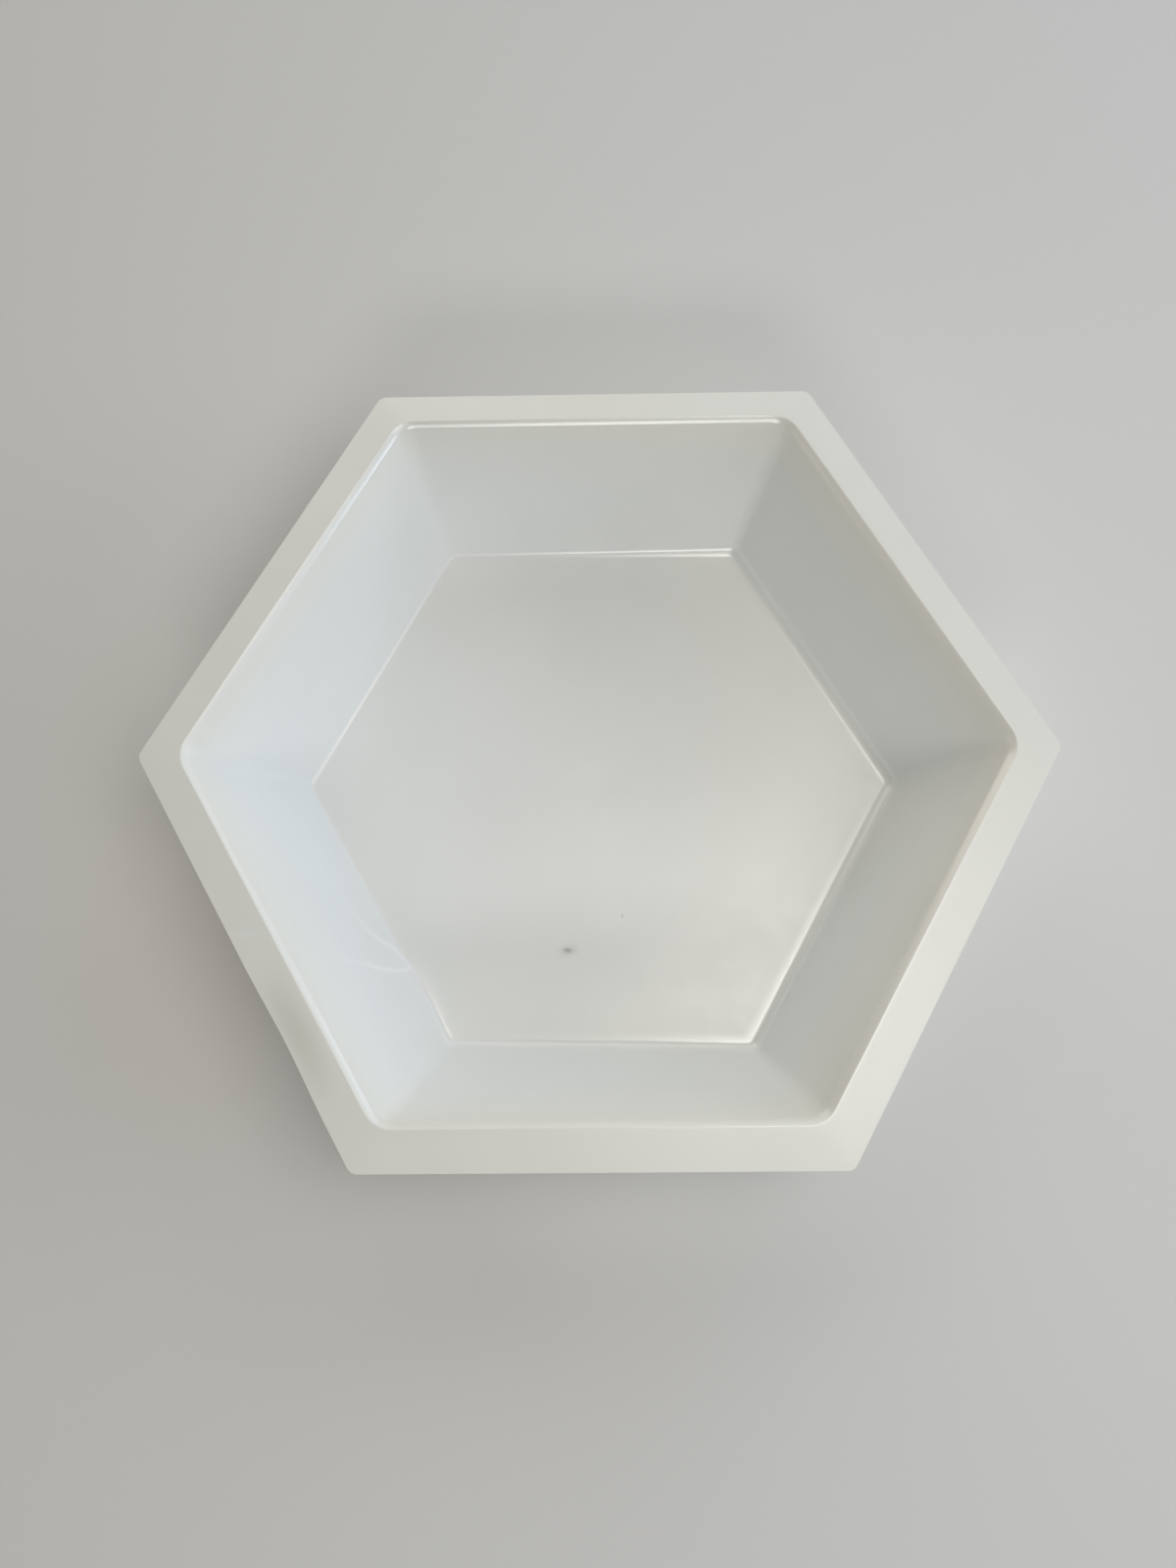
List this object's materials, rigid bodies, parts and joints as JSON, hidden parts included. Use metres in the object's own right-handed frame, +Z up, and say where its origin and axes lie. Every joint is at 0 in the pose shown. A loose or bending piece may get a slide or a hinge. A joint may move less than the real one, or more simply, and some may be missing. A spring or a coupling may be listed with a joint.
{
  "type": "weighing boat",
  "caption": "Shallow hexagonal weighing boat: thin white plastic sheet with a flat floor, sloped walls and a flat rim round the opening.",
  "frame": {"origin": "middle of the cut outline of the rim, at the height of the underside that the boat stands on", "axes": "+Z up out of the opening; X through two opposite corners of the rim; Y across two opposite sides"},
  "size_m": [0.1316, 0.1142, 0.0254],
  "materials": {
    "white_sheet": "satin white polystyrene sheet, slightly translucent"
  },
  "bodies": {
    "root": {"weighing_boat": "white_sheet"}
  },
  "joints": []
}
